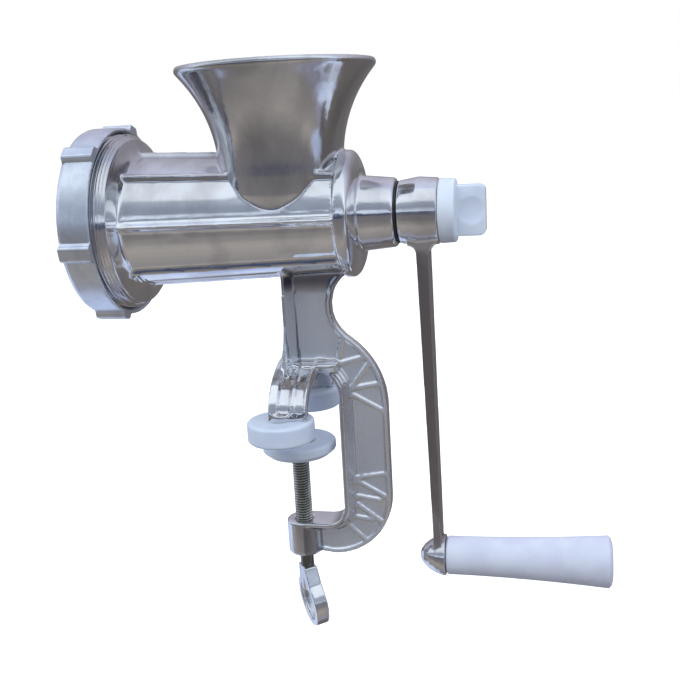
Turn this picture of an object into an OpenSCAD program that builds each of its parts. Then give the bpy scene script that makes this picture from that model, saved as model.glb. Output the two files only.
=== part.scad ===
// Manual meat grinder that clamps to a table top.
// The origin lies midway between the two upper pads, in the plane of the table top
// that they rest on. +X runs along the barrel towards the crank, +Z is up.

/* [Barrel] */
// Height of the barrel's axis above the table top
barrel_z = 93; // [90:1:98]
// Barrel's radius between the ribs, where the collar's rear cone ends
barrel_front_r = 28; // [27.5:0.1:29]
// Barrel's radius between the ribs, at the rear shoulder
barrel_rear_r = 24.2; // [24:0.1:26]
// Wall of the barrel
barrel_wall = 3; // [2.4:0.1:3.4]
// Radius of the threaded collar
collar_r = 38.5; // [37.5:0.5:40]
// Distance from the pads to the barrel's mouth
mouth_x = 81; // [78:1:86]
// Length of the threaded collar
collar_len = 11; // [10:0.5:13]
// Length of the thread's run-out and the hollowed cone behind the collar
cone_len = 8.5; // [7:0.5:11]
// Length of the thread's run-out
runout_len = 4.3; // [3.5:0.1:5]
// Height of the eight ribs
rib_h = 2.2; // [1:0.1:2.5]
// Height of the rib at the bottom, where the stem stands
low_rib_h = 1.2; // [0.8:0.1:2]
// Width of a rib at its base
rib_w = 6.4; // [4:0.2:8]
// Number of ribs round the barrel
rib_count = 8; // [6:1:12]

/* [Rear shoulder and neck] */
// Distance from the pads to the shoulder's front edge
shoulder_x = 27.5; // [26:0.5:30]
// Radius of the shoulder
shoulder_r = 26.9; // [26:0.1:29]
// Width of the shoulder's straight edge
shoulder_w = 3.5; // [2:0.5:5]
// Length of the dome between shoulder and neck
dome_len = 4.2; // [4:0.1:8]
// Neck's radius at the dome
neck_r = 16.1; // [15.2:0.1:17]
// Neck's radius at its end
neck_end_r = 14.6; // [13.5:0.1:15]
// Length of the neck
neck_len = 15; // [11:0.1:18]

/* [Hopper] */
// Distance from the pads to the hopper's axis
hopper_x = 1; // [0:0.5:2]
// Height of the hopper's rim above the table top
hopper_top = 157.2; // [150:0.2:165]
// Radius of the hopper's rim
rim_r = 42.3; // [40:0.1:46]
// Radius of the throat, just above the barrel
throat_r = 26.8; // [26:0.1:28]
// Radius of the flare's curve
flare_r = 57.1; // [50:0.1:70]
// Thickness of the bead on the hopper's rim
bead_t = 4.2; // [3:0.1:5]
// Wall of the hopper
hopper_wall = 2.8; // [2.2:0.1:3.4]
// Radius of the feed hole in the barrel
feed_r = 20.5; // [18:0.5:21]

/* [Clamp frame] */
// Distance from the pads to the spine's inner face
spine_x = 21.5; // [20:0.5:26]
// Depth of the spine, from its inner face to its outer face
spine_d = 21; // [20:0.2:26]
// Width of the flange that faces the table's edge
frame_w = 15.6; // [14:0.2:15.8]
// Thickness of that flange at its edge
flange_t = 1.8; // [1.4:0.1:3]
// How far the flange's sloping side reaches along the web
slope_w = 3.2; // [2:0.1:4]
// Width of the rim along the frame's outer edge
edge_w = 5.4; // [4.8:0.2:8]
// Depth of that rim, from the outer edge to the web
edge_t = 1.9; // [1.4:0.1:3]
// Thickness of the web
web_t = 3.4; // [3:0.2:4]
// Height of the truss ribs on the web
truss_h = 0.9; // [0.6:0.1:1]
// Depth of the lower jaw's top face below the table top
jaw_z = 47; // [44:0.1:60]
// Depth of the lower jaw, from its top face to the frame's lowest point
jaw_depth = 16.5; // [15:0.1:16.6]
// Radius of the screw boss
boss_r = 8; // [8:0.1:9]
// Height of the screw boss
boss_h = 16.8; // [16.8:0.1:20]
// Radius of the waist's hollow, behind the stem
waist_r = 17; // [15:0.5:18]
// Outer radius of the spine's upper bend
bend_r = 37.7; // [34:0.1:39]
// Outer radius of the spine's lower bend
heel_r = 28.8; // [26:0.1:30]
// Inner radius of the spine's lower bend
elbow_r = 8.2; // [7:0.1:10]
// Inner radius of the spine's upper bend, under the saddle
crook_r = 11; // [10:0.5:12]
// Width of the stem's front flange under the barrel
stem_top_w = 20; // [16:1:24]
// Width of the stem's front flange at its foot
stem_w = 32; // [28:1:34]
// Height above which the stem's front flange keeps its width
stem_narrow_z = 46; // [42:1:50]

/* [Legs] */
// Thickness of a leg's shell
leg_t = 4.4; // [3.6:0.2:6]
// Width of the saddle that joins the legs, the stem and the spine
saddle_w = 18.4; // [17:0.2:24]
// Width of the rim along a leg's front edge
leg_rim_w = 4; // [3:0.2:5]

/* [Table pads] */
// Radius of an upper pad
pad_r = 14.5; // [13:0.5:16]
// Thickness of an upper pad
pad_t = 9; // [8:0.5:10]
// Distance between the axes of the two upper pads
pad_spacing = 51.4; // [48:0.2:56]
// Radius of the peg that a pad is pushed on
peg_r = 5; // [4:0.5:6]

/* [Clamp screw] */
// Distance from the pads to the clamp screw's axis
screw_x = 0.4; // [0:0.1:2]
// Radius of the clamp screw
screw_r = 4; // [4:0.5:5]
// Gap between the clamp pad and the table top's plane, as shown
clamp_gap = 8.8; // [6:0.1:30]
// Radius of the clamp pad
clamp_pad_r = 16.8; // [14:0.1:18]
// Thickness of the clamp pad
clamp_pad_t = 6.6; // [6.4:0.1:9]
// Free length of the screw's shank between the boss and the wing handle
shank_len = 7; // [3:0.5:12]
// Half width of the wing handle
wing_r = 12.4; // [10:0.2:15]
// Length of the wing handle
wing_len = 31; // [27:0.2:34]
// Thickness of the wing handle's rim
wing_t = 6.4; // [5:0.2:7]
// Length of the wing handle's hub, from its top
wing_hub_len = 12; // [11:0.5:16]
// Turn of the wing handle about the screw, as shown
wing_angle = -57; // [-90:1:90]
// Lean of the wing handle out of the screw's axis
wing_lean = 6; // [0:0.5:10]

/* [Ring nut] */
// Length of the ring nut
nut_len = 15; // [14:0.5:17]
// Wall of the ring nut outside the thread
nut_wall = 2.9; // [2.5:0.1:4]
// Height of a grip lug
lug_h = 2.5; // [1.5:0.1:4]
// Width of a grip lug
lug_w = 7; // [5:0.5:10]
// Number of grip lugs
lug_count = 6; // [4:1:8]
// Thickness of the lip that holds the plate
lip_t = 3; // [2.5:0.5:4]

/* [Plate and knife] */
// Diameter of the mincing plate
plate_d = 62; // [60:0.5:63]
// Thickness of the mincing plate
plate_t = 6; // [5:0.5:8]
// How far the plate stands out of the barrel's mouth
plate_proud = 2; // [1:0.5:3]
// Diameter of the plate's holes
plate_hole_d = 4.8; // [3:0.1:6]
// Thickness of the knife
knife_t = 6; // [5:0.5:7]
// Radius that the knife's blades reach
knife_r = 26.5; // [24:0.5:28]
// Width of the knife's square hole
knife_sq = 9.6; // [8:0.1:11]

/* [Feed screw] */
// Number of turns of the flight
flight_turns = 3.5; // [2.5:0.5:5]
// Thickness of the flight
flight_t = 4; // [3:0.5:6]
// Gap between the flight and the barrel
flight_gap = 0.8; // [0.5:0.1:1.5]
// Radius of the core at its front end
core_front_r = 14; // [12:0.5:16]
// Radius of the core at its rear end
core_rear_r = 10.5; // [9:0.5:12]
// Radius of the shaft in the neck
shaft_r = 8; // [7:0.5:9]
// Width of the square end that carries the crank
drive_sq = 11; // [9:0.5:11.5]

/* [Crank] */
// Distance between the shaft's axis and the grip's axis
crank_len = 156; // [140:1:180]
// Length of the crank's hub
hub_len = 16.9; // [14:0.1:20]
// Largest radius of the hub
hub_r = 14.5; // [13.5:0.1:16]
// Width of the arm at its upper end
arm_w = 16; // [13:0.5:18]
// Width of the arm at its lower end
arm_end_w = 12.5; // [9:0.5:14]
// Thickness of the arm at its upper end
arm_t = 4.8; // [4:0.1:7]
// Thickness of the arm at its lower end
arm_end_t = 3.5; // [2.8:0.1:5]
// Radius of the boss at the arm's end
end_boss_r = 9.3; // [8.5:0.1:11]
// Length of the grip
grip_len = 72.3; // [60:0.1:90]
// Grip's radius at the crank
grip_r = 8.6; // [8:0.1:10]
// Grip's radius at its free end
grip_end_r = 11.4; // [10:0.1:14]
// Radius of the spindle in the grip
spindle_r = 3.4; // [3:0.1:4]

/* [Thumb knob] */
// Radius of the knob's disc
knob_r = 13.6; // [12.5:0.1:15]
// Thickness of the knob's disc
knob_t = 7; // [5:0.5:9]
// Height of the knob's wing, from tip to tip
knob_wing_h = 21; // [18:0.5:24]
// Thickness of the knob's wing
knob_wing_t = 7.5; // [5:0.5:9]
// How far the wing stands out of the disc
knob_wing_len = 12.3; // [8:0.1:15]
// Depth of the dishes in the knob's wing, where finger and thumb press
dish_depth = 1.2; // [0.6:0.1:2]
// Radius of the knob's threaded stud
stud_r = 4; // [3.5:0.5:4.5]

/* [Hidden] */
$fn = 96;
// Radial clearance of a part that turns or slides in a hole
run_gap = 0.08;
// End gap between two faces that turn against each other
end_gap = 0.1;
// Overlap of shapes that are joined into one solid
lap = 1;

// Places along the barrel, from the mouth to the knob
front_x = -mouth_x;
rim_x = front_x + collar_len;
cone_x = rim_x + cone_len;
dome_x = shoulder_x + shoulder_w;
neck_x = dome_x + dome_len;
neck_end_x = neck_x + neck_len;
bush_flange_t = 0.8;
hub_x = neck_end_x + bush_flange_t + end_gap;
hub_end_x = hub_x + hub_len;
knob_x = hub_end_x + end_gap;
wall_x = shoulder_x - 1;
taper = atan((barrel_front_r - barrel_rear_r) / (shoulder_x - cone_x));

// Seats in the mouth
plate_r = plate_d / 2;
plate_front_x = front_x - plate_proud;
plate_back_x = plate_front_x + plate_t;
knife_front_x = plate_back_x + end_gap;
knife_back_x = knife_front_x + knife_t;
screw_front_x = knife_back_x + end_gap;
knife_room_r = knife_r + 2.3;
knife_room_x = screw_front_x + 1;
key_r = 1.6;
key_at_r = plate_r - 0.6;
key_len = 8;
key_end_x = plate_back_x + 4;
pin_r = 4;
nut_front_x = plate_front_x - lip_t;
nut_rear_x = nut_front_x + nut_len;
nut_r = collar_r + nut_wall;

// Flare of the hopper: the height where its curve stands upright, and the curve's centre
flare_z = hopper_top - 42;
flare_c = throat_r + flare_r;

// Curves of the clamp frame in side view. The waist's hollow meets the upper bend smoothly.
bend_x = spine_x + spine_d - bend_r;
bend_z = 8.3;
waist_x = spine_x + waist_r - 2.3;
waist_z = bend_z + sqrt(pow(waist_r + bend_r + 0.1, 2) - pow(waist_x - bend_x, 2));
lean = atan2(waist_z - bend_z, waist_x - bend_x);
touch = lean - acos((waist_r + bend_r) / (waist_r + bend_r + 0.1));
heel_x = spine_x + spine_d - heel_r;
heel_z = heel_r - jaw_z - jaw_depth;
elbow_z = elbow_r - jaw_z;
crook_z = 14.4;
saddle_low_z = crook_z + crook_r;
saddle_z = saddle_low_z + 3.5;
arch_top_z = saddle_low_z + 5.8;
stem_x = -0.6;
stem_top_z = barrel_z - 16;

// Legs
leg_x0 = -4.4;
leg_x1 = 12;
peg_len = 5;
foot_h = 3;

// Bearing in the neck
bush_r = shaft_r + 2.4;
washer_t = 1.4;
washer_r = core_rear_r + 2.5;

// Feed screw
thread_depth = 18;
stud_cover = 1.5;
drive_end_x = hub_end_x - 1.5;
flight_start_x = screw_front_x + 0.6;
flight_end_x = wall_x - washer_t - 3;

// Crank's end boss and grip
grip_z = barrel_z - crank_len;
end_boss_len = 12;
end_boss_x = hub_x + 15.2;
grip_x = end_boss_x + 0.3;
grip_end_x = grip_x + grip_len;
spindle_end_x = end_boss_x - 7.5;
spindle_end_r = spindle_r - 0.9;
head_r = spindle_r + 2.6;
head_t = 3.4;
head_room = 5.4;

// Clamp screw and its pad
pad_top_z = -clamp_gap;
pad_low_z = pad_top_z - clamp_pad_t;
journal_r = screw_r - 1;
recess_depth = 2.4;
pad_washer_t = 1;
recess_r = journal_r + 4.6;
boss_low_z = -jaw_z - boss_h;
wing_z = boss_low_z - shank_len;
wing_low_z = wing_z - wing_len;
shank_r = screw_r - 0.9;
tenon_r = 2.1;
tenon_len = 9;

// Points on an arc about [cx, cy], from angle a0 to a1 in n steps
function arc(cx, cy, r, a0, a1, n) =
    [for (i = [0:n]) let (a = a0 + (a1 - a0) * i / n) [cx + r * cos(a), cy + r * sin(a)]];

// Radius of the barrel between the ribs, and of its bore
function barrel_r(x) = barrel_front_r - (x - cone_x) * tan(taper);
function bore_r(x) = barrel_r(x) - barrel_wall;

// Turns an outline of [x, radius] points about an axis at height z
module turned(points, z) {
    translate([0, 0, z])
        rotate([0, 90, 0])
            rotate_extrude()
                polygon([for (p = points) [p[1], p[0]]]);
}

// Cylinder along X, from x0 to x1
module rod_x(x0, x1, r, z) {
    translate([x0, 0, z])
        rotate([0, 90, 0])
            cylinder(h = x1 - x0, r = r);
}

// Extrudes a side view, drawn in X and Z, to a width along Y
module side_view(width) {
    rotate([90, 0, 0])
        linear_extrude(width, center = true)
            children();
}

// Extrudes a front view, drawn in Y and Z, from x0 to x1
module front_view(x0, x1) {
    translate([x0, 0, 0])
        rotate([90, 0, 90])
            linear_extrude(x1 - x0)
                children();
}

// Outside of the barrel: collar, run-out, hollowed cone, taper, shoulder, dome and neck
module barrel_outside() {
    cone_steps = 7;
    chamfer = 0.8;
    runout_r = collar_r - 2.6;
    hollow_x = rim_x + runout_len;
    foot_r = barrel_r(cone_x);
    turned(concat(
        [[front_x, 0], [front_x, collar_r - chamfer], [front_x + chamfer, collar_r],
         [rim_x, collar_r]],
        [for (i = [0:cone_steps]) let (t = i / cone_steps)
            [hollow_x + (cone_x - hollow_x) * t, foot_r + (runout_r - foot_r) * pow(1 - t, 2)]],
        [[shoulder_x, barrel_r(shoulder_x)], [shoulder_x, shoulder_r - chamfer],
         [shoulder_x + chamfer, shoulder_r]],
        [for (a = [0:15:90]) [dome_x + dome_len * sin(a), neck_r + (shoulder_r - neck_r) * cos(a)]],
        [[neck_end_x - chamfer, neck_end_r], [neck_end_x, neck_end_r - chamfer],
         [neck_end_x, 0]]), barrel_z);
}

// One rib: a ridge that follows the barrel's taper
module barrel_rib(height) {
    foot = 1.4;
    crest = 0.3;
    translate([cone_x, 0, barrel_front_r])
        rotate([0, taper, 0])
            front_view(-cone_len / 2, shoulder_x - cone_x + lap)
                polygon([[-rib_w / 2, -foot], [-crest, height], [crest, height], [rib_w / 2, -foot]]);
}

module barrel_ribs() {
    translate([0, 0, barrel_z])
        for (i = [0:rib_count - 1])
            rotate([i * 360 / rib_count, 0, 0])
                barrel_rib(i == rib_count / 2 ? low_rib_h : rib_h);
}

// Inside of the barrel: plate seat, room for the knife, tapered bore, neck bore
module barrel_inside() {
    turned([[front_x - lap, 0], [front_x - lap, plate_r + run_gap], [plate_back_x, plate_r + run_gap],
            [plate_back_x, knife_room_r], [knife_room_x, knife_room_r],
            [knife_room_x + 2, bore_r(cone_x)], [cone_x, bore_r(cone_x)],
            [wall_x, bore_r(wall_x)], [wall_x, 0]], barrel_z);
    rod_x(wall_x - lap, neck_end_x + lap, bush_r, barrel_z);
}

// Radius of the flare at height z, for a curve that is thicker by a wall w
function flare_at(z, w) = flare_c - sqrt(pow(flare_r + w, 2) - pow(z - flare_z, 2));

module hopper_outside() {
    bead_r = bead_t / 2;
    translate([hopper_x, 0, 0])
        rotate_extrude()
            polygon(concat(
                [[0, barrel_z], [throat_r - 2.8, barrel_z + 3], [throat_r - 0.5, barrel_z + 11],
                 [throat_r, flare_z - 4]],
                [for (z = [flare_z:3.5:hopper_top - bead_t - 0.6]) [flare_at(z, 0), z]],
                arc(rim_r - bead_r, hopper_top - bead_r, bead_r, -50, 90, 7),
                [[0, hopper_top]]));
}

module hopper_inside() {
    translate([hopper_x, 0, 0])
        rotate_extrude()
            polygon(concat(
                [[0, barrel_z + 4], [feed_r, barrel_z + 4], [feed_r, barrel_z + 10],
                 [throat_r - hopper_wall, flare_z]],
                [for (z = [flare_z + 3.5:3.5:hopper_top]) [flare_at(z, hopper_wall), z]],
                [[rim_r - bead_t / 2, hopper_top + lap], [0, hopper_top + lap]]));
}

// Outer edge of the C-shaped frame in side view, moved inwards by t
function outer_edge(t) = concat(
    arc(waist_x, waist_z, waist_r + t, 105, touch + 180, 9),
    arc(bend_x, bend_z, bend_r - t, touch, 0, 9),
    arc(heel_x, heel_z, heel_r - t, 0, -88, 12),
    [[screw_x, -jaw_z - jaw_depth + 2 + t]]);

// The same points from the last to the first
function backwards(points) = [for (i = [len(points) - 1:-1:0]) points[i]];

// Side view of the web; its inner edge lies inside the front flange
module frame_side_view() {
    sunk = 0.6;
    polygon(concat(
        outer_edge(0),
        [[screw_x, -jaw_z - sunk]],
        arc(spine_x - elbow_r, elbow_z, elbow_r + sunk, -90, 0, 6),
        arc(spine_x - crook_r, crook_z, crook_r + sunk, 0, 88, 7),
        [[stem_x, saddle_low_z], [stem_x, stem_top_z]]));
}

// Section through the front flange: u is the distance from its face, v runs along Y
module flange_section(u) {
    far = u + flange_t + slope_w;
    polygon([[u, -frame_w / 2], [u, frame_w / 2], [u + flange_t, frame_w / 2], [far, web_t / 2],
             [far, -web_t / 2], [u + flange_t, -frame_w / 2]]);
}

// A bend of the front flange about an axis along Y
module flange_bend(x, z, r, start, sweep) {
    translate([x, 0, z])
        rotate([90, start, 0])
            rotate_extrude(angle = sweep)
                flange_section(r);
}

// Flange along the jaw's top, round the elbow, up the spine and round the crook
module front_flange() {
    translate([0, 0, elbow_z])
        linear_extrude(crook_z - elbow_z)
            flange_section(spine_x);
    flange_bend(spine_x - elbow_r, elbow_z, elbow_r, 90, 90);
    flange_bend(spine_x - crook_r, crook_z, crook_r, 0, 85);
    translate([screw_x, 0, -jaw_z])
        rotate([0, 90, 0])
            linear_extrude(spine_x - elbow_r - screw_x)
                flange_section(0);
}

// Truss ribs on the web, each from one point to another in side view
truss = [[[23.5, 38.8], [21.1, 29]], [[21.1, 27.3], [35.2, 31.1]], [[35.5, 28.4], [26.5, 16]],
         [[26, 16], [41.5, 18.8]], [[25.5, 14], [42.5, 4.7]], [[23.5, -26.6], [42.5, -23.4]],
         [[23.5, -25.6], [42.5, -36.4]], [[23.5, -34.4], [38, -36.8]], [[23.5, -36.6], [39, -48.2]],
         [[22, -44.6], [34, -46.3]], [[18, -45.6], [30.4, -57]]];

module truss_ribs() {
    rib_t = 1.6;
    intersection() {
        side_view(web_t + 2 * truss_h)
            frame_side_view();
        for (r = truss) {
            d = r[1] - r[0];
            translate([r[0][0], 0, r[0][1]])
                rotate([0, -atan2(d[1], d[0]), 0])
                    translate([0, -frame_w / 2, -rib_t / 2])
                        cube([norm(d), frame_w, rib_t]);
        }
    }
}

// Polished lug beside the crook
module crook_lug() {
    lug_r = 2;
    out_y = -web_t / 2 - 1.8;
    ends = arc(spine_x - crook_r, crook_z, crook_r + 3.2, 20, 42, 1);
    side = ends[1] - ends[0];
    for (p = ends)
        translate([p[0], out_y, p[1]])
            sphere(r = lug_r);
    translate([ends[0][0], out_y, ends[0][1]])
        rotate([0, atan2(side[0], side[1]), 0])
            cylinder(h = norm(side), r = lug_r);
}

module clamp_frame() {
    side_view(web_t)
        frame_side_view();
    side_view(edge_w)
        polygon(concat(outer_edge(0), backwards(outer_edge(edge_t))));
    front_flange();
    truss_ribs();
    crook_lug();
}

// Front flange of the stem: it widens towards the saddle
module stem_flange() {
    edge = 1.3;
    slope = 2.2;
    intersection() {
        side_view(stem_w)
            polygon([[stem_x - 1, saddle_low_z], [stem_x - 1, arch_top_z], [stem_x, 40],
                     [stem_x, stem_top_z], [stem_x + edge, stem_top_z], [stem_x + edge, 40],
                     [stem_x + edge + 1, saddle_low_z]]);
        front_view(-10, 20)
            polygon([[-stem_w / 2, saddle_low_z], [-stem_top_w / 2, stem_narrow_z],
                     [-stem_top_w / 2, barrel_z], [stem_top_w / 2, barrel_z],
                     [stem_top_w / 2, stem_narrow_z], [stem_w / 2, saddle_low_z]]);
    }
    translate([stem_x, 0, saddle_z - lap])
        linear_extrude(stem_top_z - saddle_z + lap)
            polygon([[0.4, -stem_top_w / 2 + 0.4], [0.4, stem_top_w / 2 - 0.4], [edge, stem_top_w / 2 - 0.4],
                     [edge + slope, web_t / 2], [edge + slope, -web_t / 2], [edge, -stem_top_w / 2 + 0.4]]);
}

// Legs: an arch in front view that carries the two pad pegs
function arch(ry, rz, z0) = [for (a = [0:10:180]) [ry * cos(a), z0 + rz * sin(a)]];

module leg_arch(dip, top_z, thick, x0, x1) {
    outer = pad_spacing / 2 + peg_r - 0.4 - dip;
    inner = outer - thick;
    front_view(x0, x1)
        difference() {
            polygon(arch(outer, top_z - dip - pad_t, pad_t));
            polygon(concat([[inner, pad_t - lap]], arch(inner, saddle_low_z - pad_t - 2.5, pad_t),
                           [[-inner, pad_t - lap]]));
        }
}

module legs() {
    dip = 2.2;
    ridge = 1;
    top_z = saddle_z + ridge;
    middle_x = (leg_x0 + leg_rim_w + leg_x1) / 2 - ridge;
    leg_arch(0, arch_top_z, leg_t + dip, leg_x0, leg_x0 + leg_rim_w);
    leg_arch(dip, top_z, leg_t, leg_x0 + leg_rim_w - lap / 2, leg_x1 - ridge / 2);
    leg_arch(ridge, top_z, leg_t, middle_x, middle_x + 2 * ridge);
    leg_arch(ridge, top_z, leg_t + dip - ridge, leg_x1 - ridge, leg_x1);
    // Saddle
    front_view(leg_x0 + leg_rim_w, spine_x)
        polygon([[-saddle_w / 2 + 1, saddle_low_z - 0.5], [-saddle_w / 2, saddle_z],
                 [saddle_w / 2, saddle_z], [saddle_w / 2 - 1, saddle_low_z - 0.5]]);
    // Feet with the pegs for the pads
    for (side = [-1, 1])
        translate([0, side * pad_spacing / 2, pad_t - peg_len]) {
            cylinder(h = peg_len + lap, r = peg_r);
            translate([0, 0, peg_len])
                cylinder(h = foot_h, r = peg_r + 0.2);
        }
}

module screw_boss() {
    bevel = 1.2;
    translate([screw_x, 0, boss_low_z])
        rotate_extrude()
            polygon([[0, 0], [boss_r - bevel, 0], [boss_r, bevel], [boss_r, boss_h], [0, boss_h]]);
}

module body_casting() {
    color("silver")
        difference() {
            union() {
                barrel_outside();
                barrel_ribs();
                hopper_outside();
                clamp_frame();
                stem_flange();
                legs();
                screw_boss();
            }
            barrel_inside();
            hopper_inside();
            translate([screw_x, 0, boss_low_z - lap])
                cylinder(h = boss_h + 2 * lap, r = screw_r + run_gap);
            rod_x(front_x - lap, key_end_x, key_r, barrel_z + key_at_r);
        }
}

module neck_bush() {
    color("dimgray")
        turned([[wall_x, shaft_r + run_gap], [wall_x, bush_r], [neck_end_x, bush_r],
                [neck_end_x, neck_end_r - 1.6], [neck_end_x + bush_flange_t, neck_end_r - 1.6],
                [neck_end_x + bush_flange_t, shaft_r + run_gap]], barrel_z);
}

module plate_key_pin() {
    color("lightsteelblue")
        rod_x(key_end_x - key_len, key_end_x, key_r, barrel_z + key_at_r);
}

// Upper pad with its blind hole for the foot's peg
module table_pad(side) {
    edge = 0.8;
    color("aliceblue")
        translate([0, side * pad_spacing / 2, 0])
            rotate_extrude()
                polygon([[0, 0], [pad_r - edge, 0], [pad_r, edge], [pad_r, pad_t - edge],
                         [pad_r - edge, pad_t], [peg_r, pad_t], [peg_r, pad_t - peg_len - 0.5],
                         [0, pad_t - peg_len - 0.5]]);
}

module table_pad_front() {
    table_pad(-1);
}

module table_pad_back() {
    table_pad(1);
}

// Helical flight: a swept bar whose outside follows the barrel's bore.
// Its pitch shortens towards the mouth, which presses the meat.
module flight() {
    steps_per_turn = 20;
    n = flight_turns * steps_per_turn;
    length = flight_end_x - flight_start_x - flight_t;
    points = [for (i = [0:n]) let (
                  t = i / n,
                  x = flight_start_x + length * (0.75 * t + 0.25 * t * t),
                  a = -360 * flight_turns * t,
                  r_out = bore_r(max(x, cone_x)) - flight_gap,
                  r_in = core_rear_r - 2)
              for (p = [[x, r_in], [x + 1, r_out], [x + flight_t - 1, r_out], [x + flight_t, r_in]])
                  [p[0], p[1] * cos(a), p[1] * sin(a)]];
    sides = [for (i = [0:n - 1]) for (k = [0:3]) let (
                 a = i * 4 + k,
                 b = i * 4 + (k + 1) % 4)
             for (f = [[a, b + 4, b], [a, a + 4, b + 4]]) f];
    last = n * 4;
    ends = [[0, 1, 2], [0, 2, 3], [last, last + 2, last + 1], [last, last + 3, last + 2]];
    translate([0, 0, barrel_z])
        polyhedron(points, concat(sides, ends));
}

module feed_screw() {
    socket = 13;
    color("gainsboro")
        difference() {
            union() {
                turned([[screw_front_x, 0], [screw_front_x, core_front_r],
                        [flight_start_x + 6, core_front_r], [flight_end_x, core_rear_r],
                        [wall_x - washer_t - end_gap, core_rear_r],
                        [wall_x - washer_t - end_gap, shaft_r], [hub_x - 0.2, shaft_r],
                        [hub_x - 0.2, 0]], barrel_z);
                flight();
                intersection() {
                    translate([hub_x - lap, -drive_sq / 2, barrel_z - drive_sq / 2])
                        cube([drive_end_x - hub_x + lap, drive_sq, drive_sq]);
                    rod_x(hub_x - 2 * lap, drive_end_x, shaft_r, barrel_z);
                }
            }
            rod_x(screw_front_x - lap, screw_front_x + socket, knife_sq / 2, barrel_z);
            rod_x(drive_end_x - thread_depth, drive_end_x + lap, stud_r + run_gap, barrel_z);
        }
}

module thrust_washer() {
    color("saddlebrown")
        turned([[wall_x - washer_t, shaft_r + run_gap], [wall_x - washer_t, washer_r],
                [wall_x, washer_r], [wall_x, shaft_r + run_gap]], barrel_z);
}

module knife_stud() {
    socket = 12;
    sq = knife_sq - 2 * run_gap;
    color("lightslategray") {
        rod_x(plate_front_x - 0.6, knife_front_x + lap, pin_r, barrel_z);
        translate([knife_front_x, -sq / 2, barrel_z - sq / 2])
            cube([knife_t, sq, sq]);
        rod_x(knife_back_x - lap, screw_front_x + socket, knife_sq / 2, barrel_z);
    }
}

// Knife: four swept blades on a hub, bevelled at the back
module knife() {
    hub = 9.5;
    blade_w = 9;
    color("lightsteelblue")
        translate([0, 0, barrel_z])
            difference() {
                intersection() {
                    front_view(knife_front_x, knife_back_x)
                        union() {
                            circle(hub);
                            for (a = [0:90:270])
                                rotate(a)
                                    polygon([[0, -blade_w / 2], [knife_r - 1, -blade_w / 2 - 1.5],
                                             [knife_r, 0], [knife_r - 1.5, blade_w / 2 - 3.5],
                                             [hub, blade_w / 2 - 1], [0, blade_w / 2]]);
                        }
                    turned([[knife_front_x - lap, 0], [knife_front_x - lap, knife_r],
                            [knife_front_x + knife_t * 0.5, knife_r], [knife_back_x, hub + 2],
                            [knife_back_x + lap, 0]], 0);
                }
                translate([knife_front_x - lap, -knife_sq / 2, -knife_sq / 2])
                    cube([knife_t + 2 * lap, knife_sq, knife_sq]);
            }
}

// Mincing plate: rings of holes, a centre bearing and a slot for the key pin
module mincing_plate() {
    ring_step = 5.9;
    first_ring = 8.6;
    rings = 4;
    color("lightgray")
        translate([0, 0, barrel_z])
            difference() {
                turned([[plate_front_x, 0], [plate_front_x, plate_r - 0.5], [plate_front_x + 0.5, plate_r],
                        [plate_back_x, plate_r], [plate_back_x, 0]], 0);
                rod_x(plate_front_x - lap, plate_back_x + lap, pin_r + run_gap, 0);
                for (k = [0:rings - 1]) {
                    ring = first_ring + k * ring_step;
                    holes = 6 * (k + 1) + 1;
                    if (ring + plate_hole_d / 2 < plate_r - 2)
                        for (i = [0:holes - 1])
                            rotate([i * 360 / holes + 180 / holes, 0, 0])
                                translate([0, ring, 0])
                                    rod_x(plate_front_x - lap, plate_back_x + lap, plate_hole_d / 2, 0);
                }
                translate([plate_front_x - lap, -key_r - run_gap, key_at_r - key_r - 0.3])
                    cube([plate_t + 2 * lap, 2 * (key_r + run_gap), 10]);
            }
}

// Ring nut: threaded ring with a lip in front and rounded lugs outside
module nut_lug() {
    corner = 1.6;
    top = nut_r + lug_h - corner;
    front_view(nut_front_x + 0.8, nut_rear_x)
        polygon(concat(
            arc(lug_w / 2 - corner, top, corner, 0, 90, 4),
            arc(corner - lug_w / 2, top, corner, 90, 180, 4),
            [[-lug_w / 2 - 1.5, nut_r - 1.5], [lug_w / 2 + 1.5, nut_r - 1.5]]));
}

module ring_nut() {
    color("lightsteelblue")
        difference() {
            union() {
                turned([[nut_front_x, 0], [nut_front_x, nut_r - 2.4], [nut_front_x + 0.7, nut_r - 0.7],
                        [nut_front_x + 2.4, nut_r], [nut_rear_x - 0.6, nut_r],
                        [nut_rear_x, nut_r - 0.6], [nut_rear_x, 0]], barrel_z);
                translate([0, 0, barrel_z])
                    for (i = [0:lug_count - 1])
                        rotate([42 + i * 360 / lug_count, 0, 0])
                            nut_lug();
            }
            turned([[nut_front_x - lap, 0], [nut_front_x - lap, plate_r - 2.4],
                    [plate_front_x, plate_r - 3.6],
                    [plate_front_x, collar_r + run_gap], [nut_rear_x - 2, collar_r + run_gap],
                    [nut_rear_x, collar_r + 1.4], [nut_rear_x + lap, collar_r + 1.4],
                    [nut_rear_x + lap, 0]], barrel_z);
        }
}

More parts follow.
